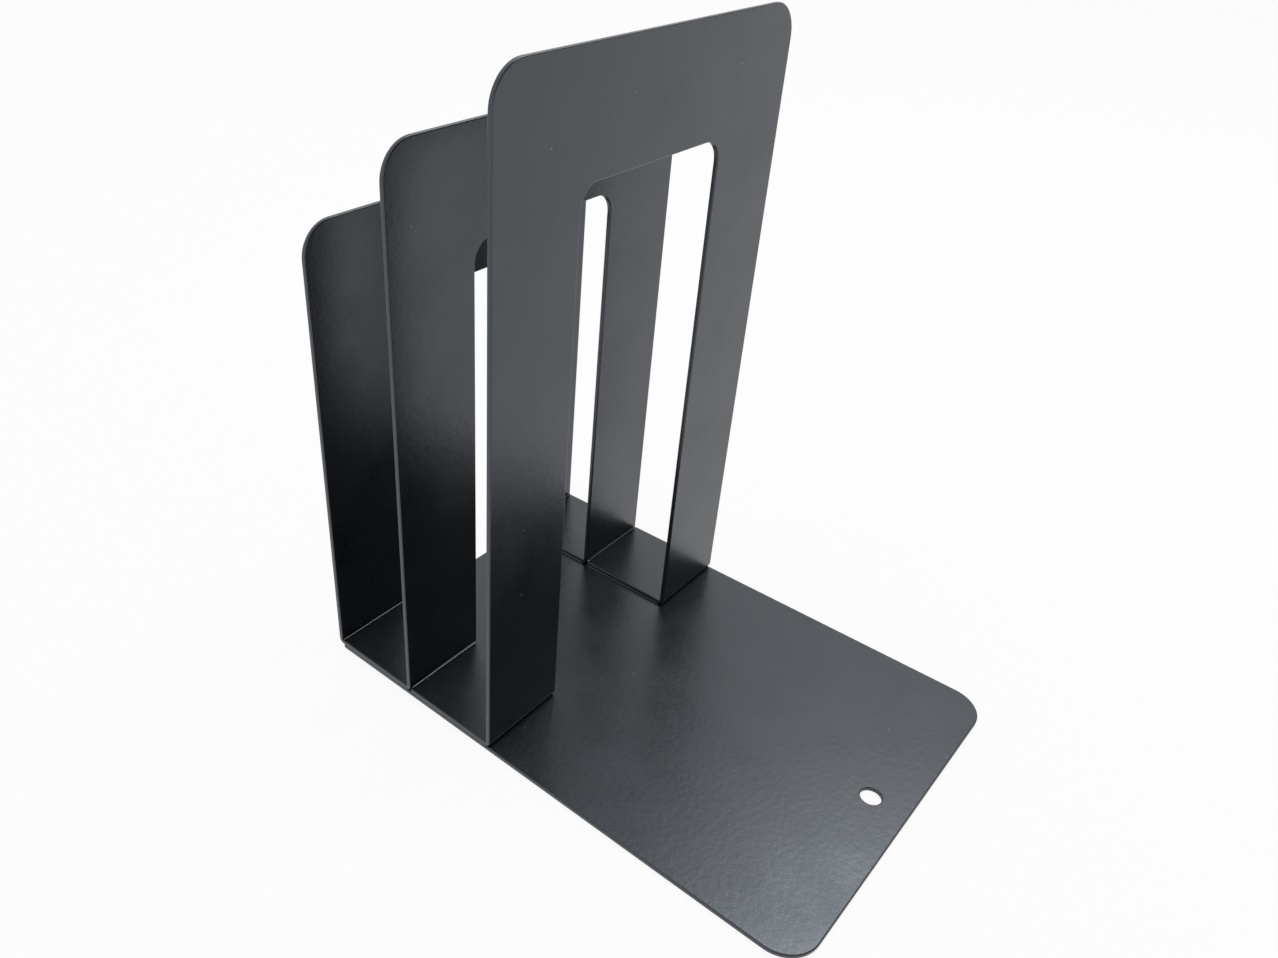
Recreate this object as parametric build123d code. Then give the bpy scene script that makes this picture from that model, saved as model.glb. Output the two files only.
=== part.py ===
from build123d import *
import os

# A stepped book end of folded steel sheet, in millimetres. X runs across it, -Y is the free end
# of the base, +Y is the back and Z is up. The origin is the middle of the footprint, on the desk.
#
# Three sheets make it. The base plate is flat. The rear channel is folded twice, into the rear
# upright, a foot and the middle upright. The front bracket is folded once, into the front upright
# and a foot that reaches back to the middle upright. Both feet lie on the plate and are spot
# welded to it. One window runs through each upright and on through the foot below it.

# The sheet
sheet = 1.7  # 1.5 mm of steel with 0.1 mm of powder coat on each side
inside_bend = 0.5  # inside radius of every fold
edge_round = 0.45  # radius that the coat gives to a cut edge
cut_corner = 0.8  # plan radius of the small square corners

# The whole book end
width = 140.0
depth = 200.0  # from the back of the rear upright to the free end of the base
base_corner = 12.0  # plan radius of the two corners at the free end

# The uprights, with their heights above the desk
slot_pitch = 40.0  # from the front face of one upright to the front face of the next
rear_height = 169.5
middle_height = 201.5
front_height = 227.0
top_corner = 11.5

# The windows
window_width = 68.6
window_head = 36.4  # height of the metal above a window
window_corner = 7.5

# The fixing hole, near the free end
hole_diameter = 7.0
hole_setback = 13.0  # from the free end to the middle of the hole
hole_offset = 1.8  # from the centre line to the middle of the hole, towards +X

# How the sheets meet
foot_gap = 0.15  # from the bracket's foot to the middle upright
weld_diameter = 5.0
weld_height = 1.0  # half of it in the plate and half in the foot

# What follows from the sizes above
outside_bend = inside_bend + sheet
soft_edge = min(edge_round, 0.4 * sheet)
back_y = depth / 2
free_y = -depth / 2
middle_y = back_y - slot_pitch  # front face of the middle upright
front_y = middle_y - slot_pitch  # front face of the front upright
foot_z = sheet  # underside of both feet, on top of the plate
foot_x = (width + window_width) / 4  # middle of each half of a foot
clear = 1.0  # how far a cutting shape runs past what it cuts


def folded_sheet(corners):
    """Sheet as wide as the book end, folded at the corners of a line through half its thickness."""
    section = trace(FilletPolyline(*corners, radius=inside_bend + sheet / 2), line_width=sheet)
    return extrude(Plane.YZ * section, amount=width / 2, both=True)


def round_tops(solid):
    """Rounds the top corners of the uprights, which stand well above the folds."""
    across = solid.edges().filter_by(Axis.Y)
    return fillet([e for e in across if e.center().Z > foot_z + sheet + outside_bend], top_corner)


def window(upright_height, from_y, to_y):
    """The shape that a window takes out: straight sides up from the plate, and a rounded head."""
    outline = Rectangle(
        window_width,
        upright_height - window_head - foot_z,
        align=(Align.CENTER, Align.MIN),
    )
    outline = fillet(outline.vertices().group_by(Axis.Y)[-1], window_corner)
    return extrude(Plane.XZ.offset(-to_y) * Pos(0, foot_z) * outline, amount=to_y - from_y)


def soften(solid):
    """Rounds each edge where two faces meet at an angle, and leaves the tangent ones."""
    beside = {}
    for face in solid.faces():
        for edge in face.edges():
            beside.setdefault(edge, []).append(face)
    sharp = []
    for edge, faces in beside.items():
        if len(faces) < 2:
            continue
        first, second = [face.normal_at(edge @ 0.5) for face in faces]
        if first.get_angle(second) > 45:
            sharp.append(edge)
    return fillet(sharp, soft_edge)


def weld_nuggets(y):
    """Spot welds in a foot: one disc in each half, centred on the face that it shares with the plate."""
    nugget = Cylinder(weld_diameter / 2, weld_height)
    return [Pos(x, y, foot_z) * nugget for x in (-foot_x, foot_x)]


def base_plate(nuggets):
    """The flat plate, which ends where the rear fold begins to curve."""
    length = depth - outside_bend
    plate = Pos(0, free_y, 0) * Box(width, length, sheet, align=(Align.CENTER, Align.MIN, Align.MIN))
    ends = plate.edges().filter_by(Axis.Z).group_by(Axis.Y)
    plate = fillet(ends[0], base_corner)
    ends = plate.edges().filter_by(Axis.Z).group_by(Axis.Y)
    plate = fillet(ends[-1], cut_corner)
    hole = Cylinder(hole_diameter / 2, 4 * sheet)
    plate -= Pos(hole_offset, free_y + hole_setback, sheet / 2) * hole
    return soften(plate) - nuggets


def rear_channel(nuggets):
    """The sheet of two folds: rear upright, foot and middle upright."""
    half = sheet / 2
    rear, middle, foot = back_y - half, middle_y + half, foot_z + half
    channel = folded_sheet(
        [(rear, rear_height), (rear, foot), (middle, foot), (middle, middle_height)]
    )
    channel = round_tops(channel)
    slot_middle = (back_y + middle_y) / 2
    channel -= window(rear_height, slot_middle - clear, back_y + clear)
    channel -= window(middle_height, middle_y - clear, slot_middle + clear)
    return soften(channel) - nuggets


def front_bracket(nuggets):
    """The sheet of one fold: front upright, and a foot that stops just short of the middle upright."""
    half = sheet / 2
    front, foot, foot_end = front_y + half, foot_z + half, middle_y - foot_gap
    bracket = folded_sheet([(foot_end, foot), (front, foot), (front, front_height)])
    bracket = round_tops(bracket)
    bracket -= window(front_height, front_y - clear, middle_y + clear)
    bracket = fillet(bracket.edges().filter_by(Axis.Z).group_by(Axis.Y)[-1], cut_corner)
    return soften(bracket) - nuggets


channel_welds = weld_nuggets((back_y + middle_y) / 2)
bracket_welds = weld_nuggets((middle_y + front_y) / 2)

parts = {
    "base_plate": base_plate(channel_welds + bracket_welds),
    "rear_channel": rear_channel(channel_welds),
    "front_bracket": front_bracket(bracket_welds),
    "channel_welds": Compound(children=channel_welds),
    "bracket_welds": Compound(children=bracket_welds),
}

os.makedirs("parts", exist_ok=True)
for name, shape in parts.items():
    export_step(shape, f"parts/{name}.step")
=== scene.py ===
import math

import bpy
import numpy as np
from mathutils import Euler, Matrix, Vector


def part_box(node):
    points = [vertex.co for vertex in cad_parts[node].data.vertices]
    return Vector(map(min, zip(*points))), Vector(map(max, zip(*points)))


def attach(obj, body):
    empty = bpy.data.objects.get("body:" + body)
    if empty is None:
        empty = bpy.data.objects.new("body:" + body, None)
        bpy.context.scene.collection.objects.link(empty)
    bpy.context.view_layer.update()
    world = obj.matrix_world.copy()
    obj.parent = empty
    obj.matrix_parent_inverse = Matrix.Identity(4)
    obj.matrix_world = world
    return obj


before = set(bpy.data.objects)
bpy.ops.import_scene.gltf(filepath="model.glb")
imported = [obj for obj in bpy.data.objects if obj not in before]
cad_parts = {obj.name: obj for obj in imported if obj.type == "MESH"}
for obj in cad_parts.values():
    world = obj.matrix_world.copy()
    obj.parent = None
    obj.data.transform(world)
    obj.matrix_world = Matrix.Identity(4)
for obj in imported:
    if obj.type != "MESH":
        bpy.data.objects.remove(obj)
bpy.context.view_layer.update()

scene = bpy.context.scene
mm = 0.001
print("frame loaded:", ", ".join(sorted(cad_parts)))

camera = {
    "place": (-0.249447, -0.146935, 0.274653),
    "turn": (56.956, -0.6675, -47.5967),  # degrees about X, Y and Z
    "lens": 28.69,  # mm, on a 36 mm wide sensor
    "sensor": 36.0,
    "shift": (0.10516, -0.00307),
    "nearest": 0.01,
}


def placeCamera(look):
    data = bpy.data.cameras.new("bookEndCamera")
    data.lens = look["lens"]
    data.sensor_width = look["sensor"]
    data.shift_x, data.shift_y = look["shift"]
    data.clip_start = look["nearest"]
    eye = bpy.data.objects.new("bookEndCamera", data)
    eye.location = look["place"]
    eye.rotation_euler = Euler([math.radians(a) for a in look["turn"]], "XYZ")
    scene.collection.objects.link(eye)
    scene.camera = eye


placeCamera(camera)


def addNode(tree, kind, **settings):
    # one shader node, with its own settings
    node = tree.nodes.new(kind)
    for name, value in settings.items():
        setattr(node, name, value)
    return node


def feed(tree, node, **inputs):
    # each input takes a plain value or another node's output; spaces in its name are written _
    for name, value in inputs.items():
        socket = node.inputs[name.replace("_", " ")]
        if isinstance(value, bpy.types.NodeSocket):
            tree.links.new(value, socket)
        else:
            socket.default_value = value
    return node


def workOut(tree, kind, first, second, third=0.0):
    # a Math node of the given kind
    node = addNode(tree, "ShaderNodeMath", operation=kind)
    for socket, value in zip(node.inputs, (first, second, third)):
        if isinstance(value, bpy.types.NodeSocket):
            tree.links.new(value, socket)
        else:
            socket.default_value = value
    return node.outputs[0]


noiseSpan = (0.3, 0.7)  # most of what a noise texture gives


def remap(tree, value, fromRange, toRange, kind="LINEAR"):
    node = addNode(tree, "ShaderNodeMapRange", interpolation_type=kind)
    feed(tree, node, Value=value, From_Min=fromRange[0], From_Max=fromRange[1])
    feed(tree, node, To_Min=toRange[0], To_Max=toRange[1])
    return node.outputs[0]


paleFloor = {
    "halfWidth": 6.0,
    "drop": 0.05 * mm,  # below the plate, so that the two don't flicker
    "color": (0.94, 0.94, 0.94, 1.0),
    "whiteShare": 0.9,  # how much of what the eye and the gloss see of it is plain white
}


def layFloor(look):
    half, z = look["halfWidth"], -look["drop"]
    mesh = bpy.data.meshes.new("paleFloor")
    corners = [(-half, -half, z), (half, -half, z), (half, half, z), (-half, half, z)]
    mesh.from_pydata(corners, [], [(0, 1, 2, 3)])
    floor = bpy.data.objects.new("paleFloor", mesh)
    scene.collection.objects.link(floor)
    material = bpy.data.materials.new("paleFloor")
    material.use_nodes = True
    tree = material.node_tree
    tree.nodes.clear()
    path = addNode(tree, "ShaderNodeLightPath")
    seen = workOut(tree, "MAXIMUM", path.outputs["Is Camera Ray"], path.outputs["Is Glossy Ray"])
    seen = workOut(tree, "MAXIMUM", seen, path.outputs["Is Transmission Ray"])
    share = workOut(tree, "MULTIPLY", seen, look["whiteShare"])
    paint = feed(tree, addNode(tree, "ShaderNodeBsdfDiffuse"), Color=look["color"])
    white = feed(tree, addNode(tree, "ShaderNodeEmission"), Strength=1.0)
    mix = addNode(tree, "ShaderNodeMixShader")
    tree.links.new(share, mix.inputs[0])
    tree.links.new(paint.outputs[0], mix.inputs[1])
    tree.links.new(white.outputs[0], mix.inputs[2])
    output = addNode(tree, "ShaderNodeOutputMaterial")
    tree.links.new(mix.outputs[0], output.inputs["Surface"])
    mesh.materials.append(material)


studioRoom = {
    "horizon": 1.0,  # level of the walls
    "ceilingFront": 0.22,  # level overhead in front of the free end
    "ceilingBack": 0.95,  # level overhead above and behind the uprights
    "frontEnds": (-0.45, 0.1),  # Y of the direction, from the ceiling's dark part to its light one
    "wallTop": 0.12,  # height, as the sine of the elevation, where the walls begin to change
    "ceilingStart": 0.5,  # and where the ceiling's own level is reached
}


def lightRoom(look):
    # level = horizon up to wallTop, then changes smoothly to the ceiling's, which is
    # ceilingFront towards -Y and ceilingBack towards +Y
    world = bpy.data.worlds.new("studioRoom")
    scene.world = world
    world.use_nodes = True
    tree = world.node_tree
    back = tree.nodes["Background"]
    direction = addNode(tree, "ShaderNodeTexCoord")
    parts = addNode(tree, "ShaderNodeSeparateXYZ")
    tree.links.new(direction.outputs["Generated"], parts.inputs[0])
    ceiling = remap(
        tree, parts.outputs["Y"], look["frontEnds"],
        (look["ceilingFront"], look["ceilingBack"]), "SMOOTHSTEP",
    )
    height = (look["wallTop"], look["ceilingStart"])
    share = remap(tree, parts.outputs["Z"], height, (0.0, 1.0), "SMOOTHSTEP")
    change = workOut(tree, "SUBTRACT", ceiling, look["horizon"])
    level = workOut(tree, "MULTIPLY_ADD", share, change, look["horizon"])
    feed(tree, back, Color=(1, 1, 1, 1), Strength=level)


# level is the brightness of the lit face, where white paint in full studio light is 1
softBoxes = {
    "overheadBox": {
        "place": (0.62, -0.06, 1.15),
        "aim": (0.0, 0.0, 0.05),
        "size": (0.46, 0.46),
        "level": 6.0,
    },
}


def hangSoftBox(name, look):
    width, height = look["size"]
    data = bpy.data.lights.new(name, "AREA")
    data.shape = "RECTANGLE"
    data.size, data.size_y = width, height
    data.energy = look["level"] * math.pi * width * height
    lamp = bpy.data.objects.new(name, data)
    lamp.location = look["place"]
    way = Vector(look["aim"]) - Vector(look["place"])
    lamp.rotation_euler = way.to_track_quat("-Z", "Y").to_euler()
    scene.collection.objects.link(lamp)


layFloor(paleFloor)
lightRoom(studioRoom)
for boxName, boxLook in softBoxes.items():
    hangSoftBox(boxName, boxLook)
print("studio set:", len(softBoxes), "soft boxes")

# places on the sheets, in the CAD's own metres
plateLow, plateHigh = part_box("base_plate")
channelLow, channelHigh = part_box("rear_channel")
bracketLow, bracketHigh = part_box("front_bracket")
plateTop = plateHigh[2]
sheet = plateTop - plateLow[2]
footTop = plateTop + sheet
sideX = plateHigh[0]
windowX = 34.3 * mm  # half the width of the windows
bend = 2.2 * mm  # outside radius of the folds
insideFolds = ((channelHigh[1] - sheet, footTop), (channelLow[1], footTop))  # Y and Z of each

powderCoat = {
    "color": (0.0027, 0.0030, 0.0036, 1.0),  # near black, a little cool
    "paleColor": (0.0038, 0.0042, 0.0050, 1.0),  # where the powder lies thinner
    "cloudSize": 14 * mm,
    "cloudSpan": (0.35, 0.7),
    "roughness": (0.27, 0.36),
    "roughPatch": 22 * mm,
    "roughGrain": 0.9 * mm,
    "grainRoughness": (-0.02, 0.02),
    "peelSize": 2.2 * mm,  # width of one dimple of the orange peel
    "peelDepth": 0.045 * mm,
    "grainSize": 0.55 * mm,
    "grainDepth": 0.008 * mm,
    "gloss": 1.78,  # index of refraction
    "glossTint": (0.82, 0.90, 1.0, 1.0),  # the cool cast of the shine
    "dustPitch": 8 * mm,
    "dustSize": 0.26 * mm,
    "dustShare": 0.5,  # share of the places for a speck that hold one
    "dustColor": (0.30, 0.31, 0.33, 1.0),
    "dustCore": 0.6,  # share of a speck's radius that is solid
    "dustRoughness": 0.5,  # what a speck adds to the coat's
    "poolWidth": (0.75 * mm, 1.2 * mm),  # the powder pools and shines this close to an inside fold
    "poolRoughness": 0.12,
    "scuffColor": (0.05, 0.052, 0.056, 1.0),
    "scratchSize": 0.3 * mm,
    "scratchSpan": (0.5, 0.6),
    "scuffs": (  # X and Y of each rubbed mark on the plate or a foot, and its radius
        (-2.2 * mm, -91.5 * mm, 0.9 * mm),
        (7.4 * mm, -88.5 * mm, 0.7 * mm),
        (-33.0 * mm, -93.0 * mm, 0.6 * mm),
        (50.0 * mm, 36.0 * mm, 0.7 * mm),
    ),
}


def spray(tree, coords, size, detail=2.0, roughness=0.5):
    # smooth noise from 0 to 1 whose lumps are about the given size
    node = addNode(tree, "ShaderNodeTexNoise")
    feed(tree, node, Vector=coords, Scale=1 / size, Detail=detail, Roughness=roughness)
    return node.outputs["Fac"]


def mixColors(tree, share, first, second):
    # first where share is 0, second where it is 1
    node = addNode(tree, "ShaderNodeMix", data_type="RGBA")
    sockets = (node.inputs[0], node.inputs[6], node.inputs[7])
    for socket, value in zip(sockets, (share, first, second)):
        if isinstance(value, bpy.types.NodeSocket):
            tree.links.new(value, socket)
        else:
            socket.default_value = value
    return node.outputs[2]


def nearFolds(tree, coords, folds, width):
    # 1 on a fold's line and 0 beyond width, from the distance to the line in the YZ plane
    place = addNode(tree, "ShaderNodeSeparateXYZ")
    tree.links.new(coords, place.inputs[0])
    nearest = 1.0
    for y, z in folds:
        dy = workOut(tree, "SUBTRACT", place.outputs["Y"], y)
        dz = workOut(tree, "SUBTRACT", place.outputs["Z"], z)
        square = workOut(tree, "MULTIPLY_ADD", dz, dz, workOut(tree, "MULTIPLY", dy, dy))
        distance = workOut(tree, "SQRT", square, 0.0)
        nearest = workOut(tree, "MINIMUM", distance, nearest)
    return remap(tree, nearest, width, (1.0, 0.0))


def nearScuffs(tree, coords, look):
    # broken light scratches inside each scuff's circle, seen from above
    place = addNode(tree, "ShaderNodeSeparateXYZ")
    tree.links.new(coords, place.inputs[0])
    total = 0.0
    for x, y, radius in look["scuffs"]:
        dx = workOut(tree, "SUBTRACT", place.outputs["X"], x)
        dy = workOut(tree, "SUBTRACT", place.outputs["Y"], y)
        square = workOut(tree, "MULTIPLY_ADD", dy, dy, workOut(tree, "MULTIPLY", dx, dx))
        inside = remap(tree, square, (0.0, radius * radius), (1.0, 0.0))
        total = workOut(tree, "MAXIMUM", inside, total)
    scratches = spray(tree, coords, look["scratchSize"])
    scratches = remap(tree, scratches, look["scratchSpan"], (0.0, 1.0))
    return workOut(tree, "MULTIPLY", total, scratches)


def makePowderCoat(look):
    material = bpy.data.materials.new("blackPowderCoat")
    material.use_nodes = True
    tree = material.node_tree
    shader = tree.nodes["Principled BSDF"]
    coords = addNode(tree, "ShaderNodeTexCoord").outputs["Object"]
    # colour: soft clouds where the powder is thinner
    cloud = spray(tree, coords, look["cloudSize"], 4.0)
    cloud = remap(tree, cloud, look["cloudSpan"], (0.0, 1.0))
    color = mixColors(tree, cloud, look["color"], look["paleColor"])
    # dust: a speck in some cells of a Voronoi pattern
    cells = addNode(tree, "ShaderNodeTexVoronoi")
    feed(tree, cells, Vector=coords, Scale=1 / look["dustPitch"])
    reach = look["dustSize"] / look["dustPitch"]
    near = remap(tree, cells.outputs["Distance"], (reach * look["dustCore"], reach), (1.0, 0.0))
    chance = addNode(tree, "ShaderNodeSeparateColor")
    tree.links.new(cells.outputs["Color"], chance.inputs[0])
    chosen = workOut(tree, "LESS_THAN", chance.outputs[0], look["dustShare"])
    dust = workOut(tree, "MULTIPLY", near, chosen)
    color = mixColors(tree, dust, color, look["dustColor"])
    rubbed = nearScuffs(tree, coords, look)
    color = mixColors(tree, rubbed, color, look["scuffColor"])
    # gloss: uneven patches, a fine grain, dull dust and a shinier pool in the inside folds
    patch = spray(tree, coords, look["roughPatch"], 3.0)
    patch = remap(tree, patch, noiseSpan, look["roughness"])
    grain = spray(tree, coords, look["roughGrain"])
    grain = remap(tree, grain, noiseSpan, look["grainRoughness"])
    rough = workOut(tree, "ADD", patch, grain)
    rough = workOut(tree, "MULTIPLY_ADD", dust, look["dustRoughness"], rough)
    pool = nearFolds(tree, coords, insideFolds, look["poolWidth"])
    toPool = workOut(tree, "SUBTRACT", look["poolRoughness"], rough)
    rough = workOut(tree, "MULTIPLY_ADD", pool, toPool, rough)
    # relief: orange peel with a finer grain on it
    peel = addNode(tree, "ShaderNodeBump")
    feed(tree, peel, Height=spray(tree, coords, look["peelSize"]), Distance=look["peelDepth"])
    fine = addNode(tree, "ShaderNodeBump")
    feed(tree, fine, Height=spray(tree, coords, look["grainSize"]), Distance=look["grainDepth"])
    tree.links.new(peel.outputs[0], fine.inputs["Normal"])
    feed(tree, shader, Base_Color=color, Roughness=rough, Normal=fine.outputs[0])
    feed(tree, shader, IOR=look["gloss"], Specular_Tint=look["glossTint"])
    return material


weldSteel = {
    "color": (0.42, 0.42, 0.43, 1.0),
    "heatColor": (0.19, 0.15, 0.12, 1.0),
    "lumpSize": 0.8 * mm,
    "heatSpan": (0.45, 0.7),
    "roughness": (0.3, 0.5),
    "rippleDepth": 0.02 * mm,
}


def makeWeldSteel(look):
    material = bpy.data.materials.new("weldSteel")
    material.use_nodes = True
    tree = material.node_tree
    shader = tree.nodes["Principled BSDF"]
    coords = addNode(tree, "ShaderNodeTexCoord").outputs["Object"]
    lumps = spray(tree, coords, look["lumpSize"], 4.0, 0.6)
    heat = remap(tree, lumps, look["heatSpan"], (0.0, 1.0))
    color = mixColors(tree, heat, look["color"], look["heatColor"])
    ripple = addNode(tree, "ShaderNodeBump")
    feed(tree, ripple, Height=lumps, Distance=look["rippleDepth"])
    rough = remap(tree, lumps, noiseSpan, look["roughness"])
    feed(tree, shader, Base_Color=color, Roughness=rough, Normal=ripple.outputs[0], Metallic=1.0)
    return material


coatFinish = makePowderCoat(powderCoat)
weldFinish = makeWeldSteel(weldSteel)
finishOf = {
    "base_plate": coatFinish,
    "rear_channel": coatFinish,
    "front_bracket": coatFinish,
    "channel_welds": weldFinish,
    "bracket_welds": weldFinish,
}
for nodeName, finish in finishOf.items():
    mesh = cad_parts[nodeName].data
    mesh.materials.clear()
    mesh.materials.append(finish)
print("finishes made:", len(finishOf), "nodes coated")

seamCoat = {
    "foldReach": 0.78 * mm,  # how far the coat climbs the middle upright and runs onto the foot
    "footReach": 0.5 * mm,  # the same for a foot's inner side and the plate
    "sideReach": 0.3 * mm,  # and for the groove along the outer sides
    "sideInset": 0.1 * mm,  # from the outer side to the coat's edges in that groove
    "sideDepth": 0.3 * mm,  # and to its corner
    "endGap": 0.35 * mm,  # from the end of a bead to the end of its seam
    "step": 0.5 * mm,
    "sectionPoints": 9,
    "taper": 1.2 * mm,  # length over which a bead shrinks at its ends
    "endSize": 0.15,  # its size at the very end
    "behind": 0.3,  # how far the closing point lies behind the corner
    "wave": 0.05,  # share by which each ripple swells a bead
    "ripples": ((0.83, 2.1), (0.31, 4.7)),  # turn per mm, and turn from one bead to the next
    "sharpAngle": 50,  # degrees
}


def coatBead(section, axis, start, end, look, seed):
    # section: the parabola (1-t)^2 P0 + 2t(1-t) C + t^2 P1 from one sheet to the other, closed by
    # a point behind its corner C; at a place s along the seam it is scaled about C by
    # taper(s) * (1 + wave * (sin + sin)), where taper is a quarter circle, and carried along X or Y
    first, corner, last = [np.array(p) for p in section]
    t = np.linspace(0, 1, look["sectionPoints"])[:, None]
    curve = (1 - t) ** 2 * first + 2 * t * (1 - t) * corner + t ** 2 * last
    behind = corner + look["behind"] * (corner - (first + last) / 2)
    ring = np.vstack([curve, behind]) - corner
    count = max(8, int(abs(end - start) / look["step"]))
    s = np.linspace(start, end, count)
    edge = np.minimum(np.abs(s - start), np.abs(end - s)) / look["taper"]
    taper = np.sqrt(1 - (1 - np.clip(edge, 0, 1)) ** 2)
    size = look["endSize"] + (1 - look["endSize"]) * taper
    waves = sum(np.sin(s / mm * turn + seed * shift) for turn, shift in look["ripples"])
    size = size * (1 + look["wave"] * waves)
    flat = corner + ring[None] * size[:, None, None]
    along = np.broadcast_to(s[:, None], flat.shape[:2])
    across, up = flat[..., 0], flat[..., 1]
    points = np.stack([along, across, up] if axis == "X" else [across, along, up], axis=2)
    rows, cols = points.shape[:2]
    index = np.arange(rows * cols).reshape(rows, cols)
    turned = np.roll(index, -1, axis=1)
    quads = np.stack([index[:-1], index[1:], turned[1:], turned[:-1]], axis=2).reshape(-1, 4)
    caps = [index[0].tolist(), index[-1][::-1].tolist()]
    return points.reshape(-1, 3), quads, caps


def facesOutward(points, quads):
    # whether the quads' areas, taken with their direction from the middle, add up to outward
    a, b, c, d = [points[quads[:, i]] for i in range(4)]
    middle = points.mean(axis=0)
    spread = np.einsum("ij,ij->i", np.cross(c - a, d - b), (a + b + c + d) / 4 - middle)
    return spread.sum() > 0


def makeSeamPiece(name, beads, look):
    allPoints, allFaces, offset = [], [], 0
    for seed, (section, axis, start, end) in enumerate(beads):
        points, quads, caps = coatBead(section, axis, start, end, look, seed)
        faces = quads.tolist() + caps
        if not facesOutward(points, quads):
            faces = [face[::-1] for face in faces]
        allFaces += [[i + offset for i in face] for face in faces]
        allPoints.append(points)
        offset += len(points)
    mesh = bpy.data.meshes.new(name)
    mesh.from_pydata(np.vstack(allPoints).tolist(), [], allFaces)
    mesh.update()
    mesh.polygons.foreach_set("use_smooth", np.ones(len(mesh.polygons), dtype=bool))
    mesh.set_sharp_from_angle(angle=math.radians(look["sharpAngle"]))
    mesh.materials.append(coatFinish)
    piece = bpy.data.objects.new(name, mesh)
    scene.collection.objects.link(piece)
    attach(piece, "root")


gap = seamCoat["endGap"]
reach = seamCoat["foldReach"]
foldLine = [
    (channelLow[1] - reach, footTop),
    (channelLow[1], footTop),
    (channelLow[1], footTop + reach),
]
makeSeamPiece("middleFoldCoat", [
    (foldLine, "X", -sideX + gap, -windowX - gap),
    (foldLine, "X", windowX + gap, sideX - gap),
], seamCoat)

reach = seamCoat["footReach"]
footRuns = [
    (bracketLow[1] + bend, bracketHigh[1] - gap),
    (channelLow[1] + bend, channelHigh[1] - bend - gap),
]
footBeads = []
for side in (-1, 1):
    footLine = [
        (side * (windowX - reach), plateTop),
        (side * windowX, plateTop),
        (side * windowX, plateTop + reach),
    ]
    footBeads += [(footLine, "Y", start, end) for start, end in footRuns]
makeSeamPiece("footSideCoat", footBeads, seamCoat)

reach = seamCoat["sideReach"]
sideBeads = []
for side in (-1, 1):
    sideLine = [
        (side * (sideX - seamCoat["sideInset"]), plateTop - reach),
        (side * (sideX - seamCoat["sideDepth"]), plateTop),
        (side * (sideX - seamCoat["sideInset"]), plateTop + reach),
    ]
    sideBeads += [(sideLine, "Y", start, end) for start, end in footRuns]
makeSeamPiece("outerSideCoat", sideBeads, seamCoat)
print("seam coat made")

scene.view_settings.view_transform = "Standard"
